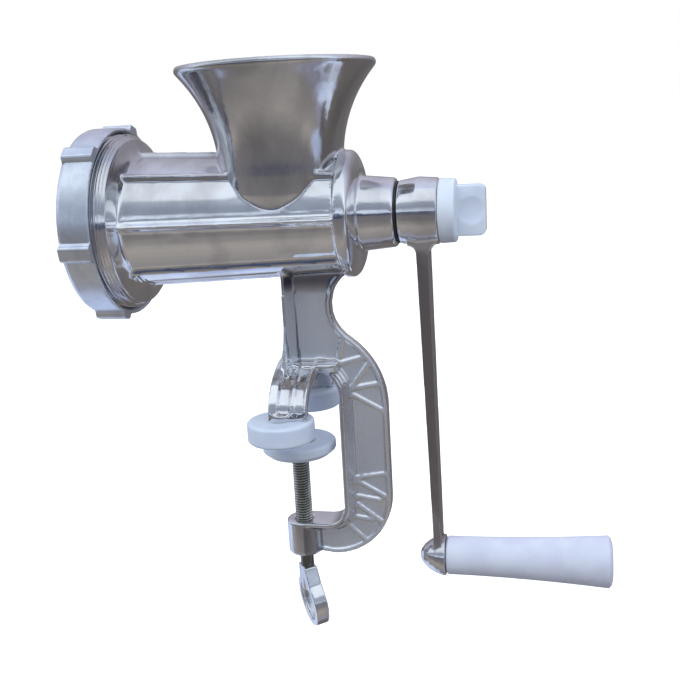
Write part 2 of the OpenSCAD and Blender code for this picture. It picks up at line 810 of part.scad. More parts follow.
// Crank: hub, tapering arm and rounded end boss
module crank_arm() {
    arm_x = hub_x + 7.2;
    arm_end_x = end_boss_x - 5.1;
    fillet = 3.5;
    hub_low = barrel_z - hub_r + 1;
    color("silver")
        difference() {
            union() {
                turned([[hub_x, 0], [hub_x, hub_r - 1.9], [hub_x + 0.6, hub_r - 1.3],
                        [hub_x + hub_len / 2, hub_r], [hub_end_x - 0.5, hub_r - 0.6],
                        [hub_end_x, hub_r - 1.1], [hub_end_x, 0]], barrel_z);
                intersection() {
                    side_view(arm_w + 4)
                        polygon(concat(
                            [[arm_x - fillet, barrel_z - 8]],
                            arc(arm_x - fillet, hub_low - fillet, fillet, 90, 0, 5),
                            [[arm_end_x, grip_z + 12], [arm_end_x, grip_z],
                             [arm_end_x + arm_end_t, grip_z], [arm_end_x + arm_end_t, grip_z + 12],
                             [arm_x + arm_t, hub_low - fillet], [hub_end_x - 1, hub_low + 1],
                             [hub_end_x - 1, barrel_z - 8]]));
                    front_view(hub_x, hub_end_x + 2)
                        polygon([[-arm_w / 2 - 1, barrel_z - 6], [-arm_w / 2, hub_low - 4],
                                 [-arm_end_w / 2, grip_z + 12], [-arm_end_w / 2, grip_z],
                                 [arm_end_w / 2, grip_z], [arm_end_w / 2, grip_z + 12],
                                 [arm_w / 2, hub_low - 4], [arm_w / 2 + 1, barrel_z - 6]]);
                }
                turned(concat(
                    [for (a = [0:15:90])
                        [end_boss_x - end_boss_len * cos(a) * cos(a) * 0.4 - end_boss_len * 0.6 * cos(a),
                         end_boss_r * sin(a)]],
                    [[end_boss_x, 0]]), grip_z);
            }
            translate([hub_x - lap, -drive_sq / 2 - run_gap, barrel_z - drive_sq / 2 - run_gap])
                cube([hub_len + 2 * lap, drive_sq + 2 * run_gap, drive_sq + 2 * run_gap]);
            rod_x(spindle_end_x, end_boss_x + lap, spindle_end_r, grip_z);
        }
}

module grip_spindle() {
    head_x = grip_end_x - head_room;
    slot_w = 1.4;
    color("lightslategray")
        difference() {
            turned([[spindle_end_x, 0], [spindle_end_x, spindle_end_r], [end_boss_x, spindle_end_r],
                    [end_boss_x, spindle_r], [head_x, spindle_r], [head_x, head_r],
                    [head_x + head_t - 0.6, head_r], [head_x + head_t, head_r - 0.8],
                    [head_x + head_t, 0]], grip_z);
            translate([head_x + head_t - 1.2, -head_r - lap, grip_z - slot_w / 2])
                cube([1.2 + lap, 2 * (head_r + lap), slot_w]);
        }
}

// Grip: a hollow flare with a domed end, turning on its spindle
module grip() {
    steps = 8;
    head_x = grip_end_x - head_room - end_gap;
    dome = 1.6;
    color("white")
        turned(concat(
            [[grip_x, spindle_r + run_gap], [grip_x, grip_r - 0.8], [grip_x + 0.8, grip_r]],
            [for (i = [1:steps]) let (t = i / steps)
                [grip_x + (grip_len - dome) * t, grip_r + (grip_end_r - grip_r) * t * t]],
            [[grip_end_x - dome / 3, grip_end_r - 1.2], [grip_end_x, grip_end_r - 3],
             [grip_end_x, head_r + 0.6], [head_x, head_r + 0.6], [head_x, spindle_r + run_gap]]), grip_z);
}

// Thumb knob: a disc with a flat wing, dished where finger and thumb press
module thumb_knob() {
    wing_x = knob_x + knob_t;
    wing_end_x = wing_x + knob_wing_len;
    corner = 3;
    top_z = knob_wing_h / 2;
    dish_r = 15;
    dish_y = knob_wing_t / 2 + dish_r - dish_depth;
    color("azure")
        difference() {
            union() {
                turned([[knob_x, 0], [knob_x, knob_r - 0.3], [knob_x + 0.3, knob_r],
                        [wing_x - 0.6, knob_r - 0.3], [wing_x, knob_r - 0.9], [wing_x, 0]], barrel_z);
                difference() {
                    side_view(knob_wing_t)
                        polygon(concat(
                            [[wing_x - lap, barrel_z + top_z]],
                            arc(wing_end_x - corner, barrel_z + top_z - corner, corner, 90, 20, 4),
                            arc(wing_end_x - corner, barrel_z - top_z + corner, corner, -20, -90, 4),
                            [[wing_x - lap, barrel_z - top_z]]));
                    for (side = [-1, 1])
                        translate([wing_x + knob_wing_len / 2, side * dish_y, barrel_z])
                            sphere(r = dish_r);
                }
            }
            rod_x(knob_x - lap, wing_x - stud_cover, stud_r, barrel_z);
        }
}

module knob_stud() {
    color("lightslategray")
        rod_x(drive_end_x - thread_depth + 2.5, knob_x + knob_t - stud_cover, stud_r, barrel_z);
}

// Turns an outline about the clamp screw's axis
module on_screw() {
    translate([screw_x, 0, 0])
        rotate_extrude()
            children();
}

// Clamp pad: a disc with a recess on top for the screw's riveted tip
module clamp_pad() {
    bevel = 3.2;
    edge = 0.8;
    color("aliceblue")
        on_screw()
            polygon([[journal_r + run_gap, pad_low_z], [clamp_pad_r - bevel, pad_low_z],
                     [clamp_pad_r, pad_low_z + 2.6], [clamp_pad_r, pad_top_z - edge],
                     [clamp_pad_r - edge, pad_top_z], [recess_r, pad_top_z],
                     [recess_r, pad_top_z - recess_depth], [journal_r + run_gap, pad_top_z - recess_depth]]);
}

module pad_washer() {
    color("gray")
        on_screw()
            translate([journal_r + run_gap, pad_top_z - recess_depth])
                square([recess_r - 0.6 - journal_r - run_gap, pad_washer_t]);
}

module clamp_screw() {
    head_z = pad_top_z - recess_depth + pad_washer_t + end_gap / 2;
    color("darkkhaki")
        on_screw()
            polygon([[0, wing_z - tenon_len], [tenon_r, wing_z - tenon_len], [tenon_r, wing_z],
                     [shank_r, wing_z], [shank_r, boss_low_z - 1],
                     [screw_r, boss_low_z - 0.2], [screw_r, pad_low_z - end_gap],
                     [journal_r, pad_low_z - end_gap], [journal_r, head_z],
                     [journal_r + 1.6, head_z], [journal_r + 1.2, head_z + 0.7], [0, head_z + 1]]);
}

// Wing handle: a drop-shaped plate with a thick rim and thinner faces
module wing_outline(inset) {
    r = wing_r - inset;
    cz = wing_low_z + wing_r;
    top_w = 4.4 - inset * 0.5;
    top_z = wing_z - inset;
    side = acos(min(1, r / norm([top_w, top_z - cz]))) - atan(top_w / (top_z - cz));
    polygon(concat([[-top_w, top_z]], arc(0, cz, r, 90 + side, 450 - side, 24), [[top_w, top_z]]));
}

module wing_plate() {
    face_t = 2.4;
    inset = 3.2;
    difference() {
        side_view(wing_t)
            wing_outline(0);
        for (side = [-1, 1])
            translate([0, side * (face_t + wing_t) / 2, 0])
                intersection() {
                    side_view(wing_t)
                        wing_outline(inset);
                    translate([-wing_r, -wing_r, wing_low_z])
                        cube([2 * wing_r, 2 * wing_r, wing_len - wing_hub_len]);
                }
    }
}

module wing_handle() {
    color("silver")
        translate([screw_x, 0, wing_z])
            rotate([0, 0, wing_angle])
                difference() {
                    union() {
                        rotate([wing_lean, 0, 0])
                            translate([0, 0, -wing_z])
                                wing_plate();
                        translate([0, 0, -wing_hub_len])
                            cylinder(h = wing_hub_len + lap, r = shank_r + 0.2);
                    }
                    translate([0, 0, -tenon_len])
                        cylinder(h = tenon_len + lap, r = tenon_r);
                    // Flat shoulder under the screw's shank
                    cylinder(h = 2 * lap, r = wing_r);
                }
}

body_casting();
neck_bush();
plate_key_pin();
table_pad_front();
table_pad_back();
feed_screw();
thrust_washer();
knife_stud();
knife();
mincing_plate();
ring_nut();
crank_arm();
grip_spindle();
grip();
thumb_knob();
knob_stud();
clamp_pad();
pad_washer();
clamp_screw();
wing_handle();
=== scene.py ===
"""A table-clamped hand meat grinder: castings, threads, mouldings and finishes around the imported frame.

Lengths are in metres unless a name ends in _mm. The frame's origin lies midway between the two upper pads, in
the plane of the table top; +X runs along the barrel towards the crank and +Z is up.
"""

from __future__ import annotations

import functools
import logging
import math
from dataclasses import dataclass
from enum import Enum
from typing import Any, Callable, Iterable, Sequence

import bpy
from mathutils import Matrix, Vector


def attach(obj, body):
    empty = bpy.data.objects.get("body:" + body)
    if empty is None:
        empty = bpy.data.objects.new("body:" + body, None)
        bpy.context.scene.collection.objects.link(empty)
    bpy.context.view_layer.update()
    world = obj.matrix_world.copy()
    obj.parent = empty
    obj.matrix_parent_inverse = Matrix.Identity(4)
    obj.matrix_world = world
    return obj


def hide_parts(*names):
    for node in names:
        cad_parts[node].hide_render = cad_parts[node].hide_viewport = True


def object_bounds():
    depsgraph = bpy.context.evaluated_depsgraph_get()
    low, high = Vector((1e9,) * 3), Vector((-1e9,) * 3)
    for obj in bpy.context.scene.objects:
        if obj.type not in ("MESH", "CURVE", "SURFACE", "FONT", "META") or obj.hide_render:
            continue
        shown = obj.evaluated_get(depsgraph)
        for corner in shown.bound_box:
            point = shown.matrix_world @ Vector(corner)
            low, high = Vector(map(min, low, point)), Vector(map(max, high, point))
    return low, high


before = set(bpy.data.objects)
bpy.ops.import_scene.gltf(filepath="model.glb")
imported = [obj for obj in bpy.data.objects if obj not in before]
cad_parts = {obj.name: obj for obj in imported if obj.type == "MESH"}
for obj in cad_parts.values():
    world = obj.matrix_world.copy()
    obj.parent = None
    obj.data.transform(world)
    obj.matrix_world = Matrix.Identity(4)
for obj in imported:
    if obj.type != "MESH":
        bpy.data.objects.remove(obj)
CAD_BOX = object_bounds()

MM = 0.001
WELD = 1e-6  # vertices closer than this are merged
LOG = logging.getLogger("grinder")
Colour = tuple[float, float, float]
Point = tuple[float, float, float]


class Rides(Enum):
    """The moving groups of the grinder."""

    FRAME = "frame"
    FEED = "feed"
    CRANK = "crank"
    GRIP = "grip"
    KNOB = "knob"
    NUT = "nut"
    PAD = "pad"
    SCREW = "screw"


class Axis(Enum):
    """An axis that a piece is turned about."""

    BARREL = (1.0, 0.0, 0.0)
    UPRIGHT = (0.0, 0.0, 1.0)

    def point(self, along_mm: float, radius_mm: float) -> Vector:
        """A profile's point, by its place along the axis and its radius."""
        out = Vector((0, 0, 1)) if self is Axis.BARREL else Vector((1, 0, 0))
        return Vector(self.value) * (along_mm * MM) + out * (radius_mm * MM)


@dataclass(frozen=True)
class Region:
    """A block of the casting, alike on both sides of it, with its limits in millimetres.

    Attributes:
        x: Limits along X.
        y: Limits of the distance from the middle plane; a lower one under 0 takes that plane in.
        z: Limits along Z.
    """

    x: tuple[float, float]
    y: tuple[float, float]
    z: tuple[float, float]

    def holds(self, place: Vector) -> bool:
        """Tells whether a place, in metres, lies in the block."""
        x, y, z = place / MM
        return self.x[0] < x < self.x[1] and self.y[0] < abs(y) < self.y[1] and self.z[0] < z < self.z[1]


TRUSS = Region((17, math.inf), (-1, 3.2), (-math.inf, 39.5))
STEM_FRONT = Region((-3, 14), (-1, 12), (36, 59))
UNDER_BARREL = Region((-1.5, 27), (-1, 10.5), (59, 71))
SADDLE = Region((0.5, 20), (1, 9), (27.5, 35))


class Amount:
    """A shader value that takes part in arithmetic; each step adds its Math node."""

    def __init__(self, tree: "Tree", socket: bpy.types.NodeSocket) -> None:
        """Wraps the output socket that carries the value, in the tree that new nodes go into."""
        self.tree = tree
        self.socket = socket

    def step(self, operation: str, *others: "Amount | float") -> "Amount":
        """Adds a Math node whose inputs are this value and the others, and gives its result."""
        node = self.tree.node("ShaderNodeMath", {"operation": operation}, dict(enumerate((self, *others))))
        return Amount(self.tree, node.outputs[0])

    def __add__(self, other: "Amount | float") -> "Amount":
        """Sum."""
        return self.step("ADD", other)

    __radd__ = __add__

    def __sub__(self, other: "Amount | float") -> "Amount":
        """Difference."""
        return self.step("SUBTRACT", other)

    def __rsub__(self, other: float) -> "Amount":
        """A number less this value."""
        return (self * -1.0) + other

    def __mul__(self, other: "Amount | float") -> "Amount":
        """Product."""
        return self.step("MULTIPLY", other)

    __rmul__ = __mul__

    def __abs__(self) -> "Amount":
        """Size without sign."""
        return self.step("ABSOLUTE")

    def rise(self, low: float, high: float) -> "Amount":
        """Goes smoothly from 0 at low to 1 at high.

        Args:
            low: Value at which the result is 0.
            high: Value at which the result is 1.

        Returns:
            The eased share.
        """
        inputs = {"Value": self, "From Min": low, "From Max": high}
        node = self.tree.node("ShaderNodeMapRange", {"interpolation_type": "SMOOTHSTEP"}, inputs)
        return Amount(self.tree, node.outputs[0])


class Border(Enum):
    """Borders between looks: where each change starts and ends along an axis, in millimetres."""

    WEB_TOP = (58.0, 62.0)
    SLOPE_TOP = (59.0, 62.0)
    SLOPE_BACK = (20.0, 22.0)
    SLOPE_SIDE = (8.0, 9.0)
    FILLET_BASE = (59.0, 65.0)
    FILLET_TOP = (67.0, 69.0)
    FILLET_SIDE = (9.0, 11.0)
    FILLET_FRONT = (-3.0, 1.0)
    FILLET_BACK = (25.0, 30.0)
    FRAME_FRONT = (13.0, 18.0)
    FRAME_TOP = (34.0, 50.0)
    BOSS_TOP = (-57.0, -54.0)
    BOSS_BACK = (7.0, 9.0)
    HOPPER_BASE = (98.0, 112.0)
    CRANK_END = (-60.0, -52.0)
    THREAD_END = (-16.0, -15.0)

    def past(self, place: Amount) -> Amount:
        """0 before the border and 1 past it."""
        return place.rise(self.value[0] * MM, self.value[1] * MM)

    def before(self, place: Amount) -> Amount:
        """1 before the border and 0 past it."""
        return 1.0 - self.past(place)


class Tree:
    """The node tree of one finish, or of the studio's light."""

    def __init__(self, name: str, world: bool = False) -> None:
        """Starts an empty tree.

        Args:
            name: The name of the material or world that the tree belongs to.
            world: Whether it is a world, whose place is a direction.
        """
        self.owner = (bpy.data.worlds if world else bpy.data.materials).new(name)
        self.owner.use_nodes = True
        self.nodes = self.owner.node_tree.nodes
        self.links = self.owner.node_tree.links
        self.nodes.clear()
        spots = self.node("ShaderNodeTexCoord").outputs
        self.place = spots["Generated" if world else "Object"]
        self.x, self.y, self.z = self.parts(self.place)
        self.facing = spots["Normal"]

    def parts(self, vector: bpy.types.NodeSocket) -> list[Amount]:
        """Splits a vector into its three amounts."""
        axes = self.node("ShaderNodeSeparateXYZ", inputs={0: vector})
        return [Amount(self, axes.outputs[i]) for i in range(3)]

    def node(
        self, kind: str, settings: dict[str, Any] | None = None, inputs: dict[Any, Any] | None = None
    ) -> bpy.types.Node:
        """Adds a node, its settings first and then its sockets.

        Args:
            kind: The node's type.
            settings: Attribute values; "stops" holds a ramp's (place, colour) pairs.
            inputs: Socket values or links, by socket name or number.

        Returns:
            The new node.
        """
        node = self.nodes.new(kind)
        for key, value in (settings or {}).items():
            if key == "stops":
                elements = node.color_ramp.elements
                elements[-1].position = value[-1][0]
                elements[0].position = value[0][0]
                for place, _ in value[1:-1]:
                    elements.new(place)
                for element, (_, colour) in zip(elements, value):
                    element.color = (*colour, 1.0)
            else:
                setattr(node, key, value)
        for key, value in (inputs or {}).items():
            socket = node.inputs[key]
            if isinstance(value, Amount):
                self.links.new(value.socket, socket)
            elif isinstance(value, bpy.types.NodeSocket):
                self.links.new(value, socket)
            elif isinstance(value, tuple) and socket.type == "RGBA":
                socket.default_value = (*value, 1.0)
            else:
                socket.default_value = value
        return node

    def stretched(self, scale: Point) -> bpy.types.NodeSocket:
        """The place on the piece, times a factor along each axis."""
        return self.node("ShaderNodeMapping", inputs={"Vector": self.place, "Scale": scale}).outputs[0]

    def noise(
        self, scale: float, detail: float = 3.0, stretch: Point = (1.0, 1.0, 1.0), twist: float = 0.0
    ) -> Amount:
        """Noise from 0 to 1, by features per metre, octaves, factors along the axes and distortion."""
        inputs = {"Vector": self.stretched(stretch), "Scale": scale, "Detail": detail, "Distortion": twist}
        return Amount(self, self.node("ShaderNodeTexNoise", inputs=inputs).outputs["Fac"])

    def colour(self, share: Amount, low: Any, high: Any) -> bpy.types.NodeSocket:
        """Mixes two colours or colour sockets: a share of 0 gives low and 1 gives high."""
        inputs = {"Factor": share, 6: low, 7: high}
        return self.node("ShaderNodeMix", {"data_type": "RGBA"}, inputs).outputs[2]

    def bump(
        self, height: Amount, depth: float, below: Any = None, strength: float = 1.0
    ) -> bpy.types.NodeSocket:
        """Bumps the surface.

        Args:
            height: The relief, from 0 to 1.
            depth: Depth of the relief in metres.
            below: The normal that the relief lies on.
            strength: Share of the relief.

        Returns:
            The normal.
        """
        inputs = {"Height": height, "Distance": depth, "Strength": strength}
        if below is not None:
            inputs["Normal"] = below
        return self.node("ShaderNodeBump", inputs=inputs).outputs[0]

    def rounded(self, radius: float) -> bpy.types.NodeSocket:
        """The normal with its edges rounded in the shading, by a radius in metres."""
        return self.node("ShaderNodeBevel", {"samples": 6}, {"Radius": radius}).outputs[0]

    def edges(self) -> Amount:
        """1 on outer edges, 0.5 on flats and 0 in inner corners."""
        return Amount(self, self.node("ShaderNodeNewGeometry").outputs["Pointiness"])

    def ramp(self, share: Amount, stops: Sequence[tuple[float, Colour]]) -> bpy.types.NodeSocket:
        """Reads a colour off a ramp of (place, colour) stops, at a share from 0 to 1."""
        return self.node("ShaderNodeValToRGB", {"stops": stops}, {0: share}).outputs[0]

    def surface(self, inputs: dict[str, Any]) -> bpy.types.Material:
        """Closes the tree with its shader.

        Args:
            inputs: The shader's socket values and links.

        Returns:
            The material.
        """
        shader = self.node("ShaderNodeBsdfPrincipled", inputs=inputs)
        self.node("ShaderNodeOutputMaterial", inputs={"Surface": shader.outputs[0]})
        return self.owner


@dataclass(frozen=True)
class CastFinish:
    """Polished cast aluminium, with satin left on the webs.

    Attributes:
        name: The material's name.
        bright: Colour where it is polished.
        dull: Colour where polish is missing.
        smeared: Colour of the polishing paste's wide smears.
        painted_shade: Colour of the painted shade in the inner corners, under the barrel and on the front
            flange's sloped wall.
        satin: Colour of the unpolished webs.
        shade: Colour of the webs' fine pits, and of the painted shade on the hopper and on the crank's arm
            below the hub.
        gloss: Roughness where it is polished.
        matte: Roughness of the unpolished webs.
        web_mm: Half thickness of the web whose faces stay satin, or 0 for none.
        wave_mm: Depth of the polishing's slow waves.
        hub_mm: Height under which painted shade darkens the casting, or 0 for none.
    """

    name: str
    bright: Colour = (0.87, 0.88, 0.90)
    dull: Colour = (0.70, 0.69, 0.71)
    smeared: Colour = (0.62, 0.61, 0.64)
    painted_shade: Colour = (0.12, 0.13, 0.18)
    satin: Colour = (0.72, 0.76, 0.83)
    shade: Colour = (0.37, 0.365, 0.375)
    gloss: float = 0.09
    matte: float = 0.40
    web_mm: float = 0.0
    wave_mm: float = 0.05
    hub_mm: float = 0.0

    @functools.cache
    def material(self) -> bpy.types.Material:
        """Builds the material.

        Returns:
            The material, the same one each time.
        """
        t = Tree(self.name)
        mottle = t.noise(60.0, 5.0, stretch=(1.0, 1.0, 0.6), twist=0.3)
        streak = t.noise(1300.0, 3.0, stretch=(0.10, 1.0, 1.0))
        smear = t.noise(26.0, 6.0, stretch=(1.0, 1.0, 0.4), twist=0.8)
        edge = t.edges().rise(0.52, 0.60)
        # Painted shade: the inner corners are darkened by the mesh's pointiness.
        crease_shade = 1.0 - t.edges().rise(0.40, 0.485)
        colour = t.colour(mottle.rise(0.42, 0.70), self.bright, self.dull)
        colour = t.colour(smear.rise(0.45, 0.72) * 0.7, colour, self.smeared)
        colour = t.colour(edge, colour, self.bright)
        rough = self.gloss + mottle.rise(0.40, 0.75) * 0.07 + streak.rise(0.45, 0.8) * 0.05 - edge * 0.03
        relief = t.bump(t.noise(90.0, 2.0), self.wave_mm * MM)
        relief = t.bump(streak, 0.003 * MM, relief)
        metal: Amount | float = 1.0
        if self.web_mm:
            web = self.web(t)
            grain = t.noise(3800.0, 2.0)
            bowl = Border.HOPPER_BASE.past(t.z) * (0.20 + smear.rise(0.4, 0.65) * 0.45)
            frame_arm = Border.FRAME_FRONT.past(t.x) * Border.FRAME_TOP.before(t.z)
            boss = Border.BOSS_TOP.before(t.z) * Border.BOSS_BACK.before(t.x)
            colour = t.colour(web, colour, self.worn(t, grain))
            # Painted shade: the hopper darkened, mottled by the smears.
            colour = t.colour(bowl, colour, self.shade)
            # Painted shade in the fillet under the barrel.
            colour = t.colour(self.fillet(t) * 0.75, colour, self.painted_shade)
            # Painted shade on the front flange's sloped wall.
            colour = t.colour(self.slope(t) * 0.65, colour, self.painted_shade)
            rough = rough + web * (self.matte - self.gloss) + (1.0 - web) * frame_arm * 0.10
            rough = rough + bowl * 0.08 + boss * 0.16
            relief = t.bump(grain * web, 0.03 * MM, relief, 0.5)
            metal = 1.0 - web * 0.22
        if self.hub_mm:
            below_hub = 1.0 - t.z.rise((self.hub_mm - 3.0) * MM, self.hub_mm * MM)
            # Painted shade: the arm below the hub darkened, which leaves the hub lighter.
            dark = below_hub * Border.CRANK_END.past(t.z) * (0.45 + smear.rise(0.42, 0.6) * 0.4)
            colour = t.colour(dark, colour, self.shade)
        # Painted shade in every inner corner.
        colour = t.colour(crease_shade * 0.75, colour, self.painted_shade)
        return t.surface({"Base Color": colour, "Metallic": metal, "Roughness": rough, "Normal": relief})

    def worn(self, t: Tree, grain: Amount) -> bpy.types.NodeSocket:
        """Satin with fine scratches, clouds and pits.

        Args:
            t: The tree.
            grain: The satin's grain.

        Returns:
            The colour.
        """
        scratch = t.noise(2100.0, 3.0, stretch=(1.0, 1.0, 0.06)).rise(0.55, 0.75)
        cloud = t.noise(45.0, 4.0).rise(0.35, 0.7)
        satin = t.colour(scratch * 0.45 + cloud * 0.35, self.satin, self.bright)
        return t.colour(grain.rise(0.5, 0.7) * 0.30, satin, self.shade)

    def web(self, t: Tree) -> Amount:
        """Share of satin web: its flat side faces, under the barrel's fillet.

        Args:
            t: The tree.

        Returns:
            The share.
        """
        flat = abs(t.parts(t.facing)[1]).rise(0.88, 0.975)
        thin = 1.0 - abs(t.y).rise(self.web_mm * MM, (self.web_mm + 0.4) * MM)
        return thin * flat * Border.WEB_TOP.before(t.z)

    def slope(self, t: Tree) -> Amount:
        """Share of sloped wall between the front flange's rim and the web.

        Args:
            t: The tree.

        Returns:
            The share.
        """
        towards_x, towards_y, _ = t.parts(t.facing)
        wall = towards_x.rise(0.08, 0.20) * abs(towards_y).rise(0.45, 0.60)
        wall = wall * Border.SLOPE_SIDE.before(abs(t.y))
        return wall * Border.SLOPE_TOP.before(t.z) * Border.SLOPE_BACK.before(t.x)

    def fillet(self, t: Tree) -> Amount:
        """Share of the fillet between the stem and the barrel.

        Args:
            t: The tree.

        Returns:
            The share.
        """
        height = Border.FILLET_BASE.past(t.z) * Border.FILLET_TOP.before(t.z)
        length = Border.FILLET_FRONT.past(t.x) * Border.FILLET_BACK.before(t.x)
        return height * length * Border.FILLET_SIDE.before(abs(t.y))


@dataclass(frozen=True)
class TumbledFinish:
    """Aluminium tumbled to a soft, fine-grained sheen.

    Attributes:
        name: The material's name.
        light: Colour of the high spots.
        shade: Colour of the low spots.
        gloss: Lowest roughness.
    """

    name: str
    light: Colour = (0.84, 0.89, 0.96)
    shade: Colour = (0.66, 0.70, 0.78)
    gloss: float = 0.26

    @functools.cache
    def material(self) -> bpy.types.Material:
        """Builds the material.

        Returns:
            The material, the same one each time.
        """
        t = Tree(self.name)
        cloud = t.noise(160.0, 4.0)
        grain = t.noise(1500.0, 4.0)
        edge = t.edges().rise(0.52, 0.60)
        colour = t.colour(cloud.rise(0.35, 0.7) * 0.7 + grain.rise(0.4, 0.7) * 0.3, self.light, self.shade)
        colour = t.colour(edge * 0.7, colour, self.light)
        rough = self.gloss + cloud * 0.12 + grain * 0.06 - edge * 0.06
        relief = t.bump(grain, 0.03 * MM, t.bump(cloud, 0.08 * MM))
        return t.surface({"Base Color": colour, "Metallic": 1.0, "Roughness": rough, "Normal": relief})


@dataclass(frozen=True)
class SteelFinish:
    """Machined or plated steel.

    Attributes:
        name: The material's name.
        light: Main colour.
        shade: Colour of stains and hollows.
        gloss: Lowest roughness.
        lines: Turning or grinding lines per metre.
        lay: Stretch of the lines along X, Y and Z.
        edge_mm: Rounding of the edges in the shading.
        thread_mm: A thread's axis along X, and its root's and crest's radii.
        groove_shade: Colour of the painted shade in the thread's grooves.
    """

    name: str
    light: Colour
    shade: Colour
    gloss: float = 0.22
    lines: float = 2200.0
    lay: Point = (1.0, 0.06, 0.06)
    edge_mm: float = 0.25
    thread_mm: Point | None = None
    groove_shade: Colour = (0.06, 0.065, 0.05)

    @functools.cache
    def material(self) -> bpy.types.Material:
        """Builds the material.

        Returns:
            The material, the same one each time.
        """
        t = Tree(self.name)
        line = t.noise(self.lines, 2.0, stretch=self.lay)
        stain = t.noise(180.0, 4.0, twist=0.6)
        colour = t.colour(stain.rise(0.4, 0.75), self.light, self.shade)
        if self.thread_mm:
            axis, root, crest = self.thread_mm
            radius = (t.x - axis * MM).step("POWER", 2.0) + t.y.step("POWER", 2.0)
            # Painted shade in the thread's grooves, by the distance from the thread's axis.
            groove_shade = 1.0 - radius.step("SQRT").rise(root * MM, crest * MM)
            colour = t.colour(groove_shade * Border.THREAD_END.before(t.z) * 0.85, colour, self.groove_shade)
        rough = self.gloss + line * 0.1 + stain.rise(0.4, 0.8) * 0.1
        relief = t.bump(line, 0.006 * MM, t.rounded(self.edge_mm * MM))
        return t.surface({"Base Color": colour, "Metallic": 1.0, "Roughness": rough, "Normal": relief})


@dataclass(frozen=True)
class MouldedFinish:
    """Moulded plastic.

    Attributes:
        name: The material's name.
        light: Main colour.
        shade: Colour of the slight clouding.
        gloss: Lowest roughness.
        glow: Share of light that passes through the surface.
        texture_mm: Depth of the fine moulded texture.
    """

    name: str
    light: Colour
    shade: Colour
    gloss: float = 0.35
    glow: float = 0.25
    texture_mm: float = 0.02

    @functools.cache
    def material(self) -> bpy.types.Material:
        """Builds the material.

        Returns:
            The material, the same one each time.
        """
        t = Tree(self.name)
        cloud = t.noise(90.0, 3.0, twist=0.5)
        grain = t.noise(2600.0, 3.0)
        scuff = t.noise(600.0, 5.0, twist=1.5).rise(0.62, 0.8)
        colour = t.colour(cloud.rise(0.3, 0.75), self.light, self.shade)
        rough = self.gloss + grain * 0.1 + scuff * 0.1
        relief = t.bump(grain, self.texture_mm * MM, t.bump(cloud, 0.1 * MM))
        inputs = {
            "Base Color": colour,
            "Roughness": rough,
            "Normal": relief,
            "Subsurface Weight": self.glow,
            "Subsurface Radius": (0.9, 1.0, 1.2),
            "Subsurface Scale": 2.5 * MM,
            "IOR": 1.5,
        }
        return t.surface(inputs)


@dataclass(frozen=True)
class FloorFinish:
    """The studio's plain pale floor.

    Attributes:
        name: The material's name.
        tone: Its colour.
        cloud: Colour of its faint clouding.
        glow: Colour of the light that comes through it from below.
        strength: Strength of that light.
    """

    name: str = "pale_floor"
    tone: Colour = (0.90, 0.90, 0.90)
    cloud: Colour = (0.86, 0.87, 0.88)
    glow: Colour = (1.0, 1.0, 1.0)
    strength: float = 0.52

    @functools.cache
    def material(self) -> bpy.types.Material:
        """Builds the material.

        Returns:
            The material, the same one each time.
        """
        t = Tree(self.name)
        colour = t.colour(t.noise(30.0, 2.0) * 0.15, self.tone, self.cloud)
        lit = {"Emission Color": self.glow, "Emission Strength": self.strength}
        return t.surface({"Base Color": colour, "Roughness": 0.8, **lit})


POLISHED = CastFinish("polished_casting", web_mm=3.0)
HANDLE = CastFinish("polished_handle", gloss=0.20, wave_mm=0.12)
CRANK_CAST = CastFinish("crank_casting", shade=(0.36, 0.33, 0.34), gloss=0.12, hub_mm=79.0)
FEED_CAST = CastFinish("feed_casting", bright=(0.72, 0.73, 0.74), dull=(0.55, 0.55, 0.56), gloss=0.3)
TUMBLED = TumbledFinish("tumbled_aluminium")
ZINC = SteelFinish(
    "zinc_plate",
    light=(0.66, 0.67, 0.62),
    shade=(0.42, 0.43, 0.38),
    gloss=0.2,
    lines=1500.0,
    lay=(1.0, 1.0, 0.2),
    edge_mm=0.05,
    thread_mm=(0.4, 3.35, 3.85),
)
GROUND = SteelFinish("ground_steel", (0.66, 0.67, 0.69), (0.5, 0.5, 0.52), 0.24)
PAD_WHITE = MouldedFinish("pad_plastic", (0.72, 0.80, 0.91), (0.66, 0.74, 0.88))
KNOB_WHITE = MouldedFinish("knob_plastic", (0.79, 0.86, 0.96), (0.72, 0.80, 0.93), 0.28)
GRIP_WHITE = MouldedFinish("grip_plastic", (0.72, 0.76, 0.87), (0.65, 0.68, 0.80), 0.45, 0.15, 0.03)
BLACK_NYLON = MouldedFinish("dark_nylon", (0.02, 0.02, 0.022), (0.03, 0.03, 0.032), 0.4, 0.0)
FIBRE = MouldedFinish("fibre", (0.30, 0.17, 0.10), (0.22, 0.12, 0.07), 0.7, 0.0, 0.08)


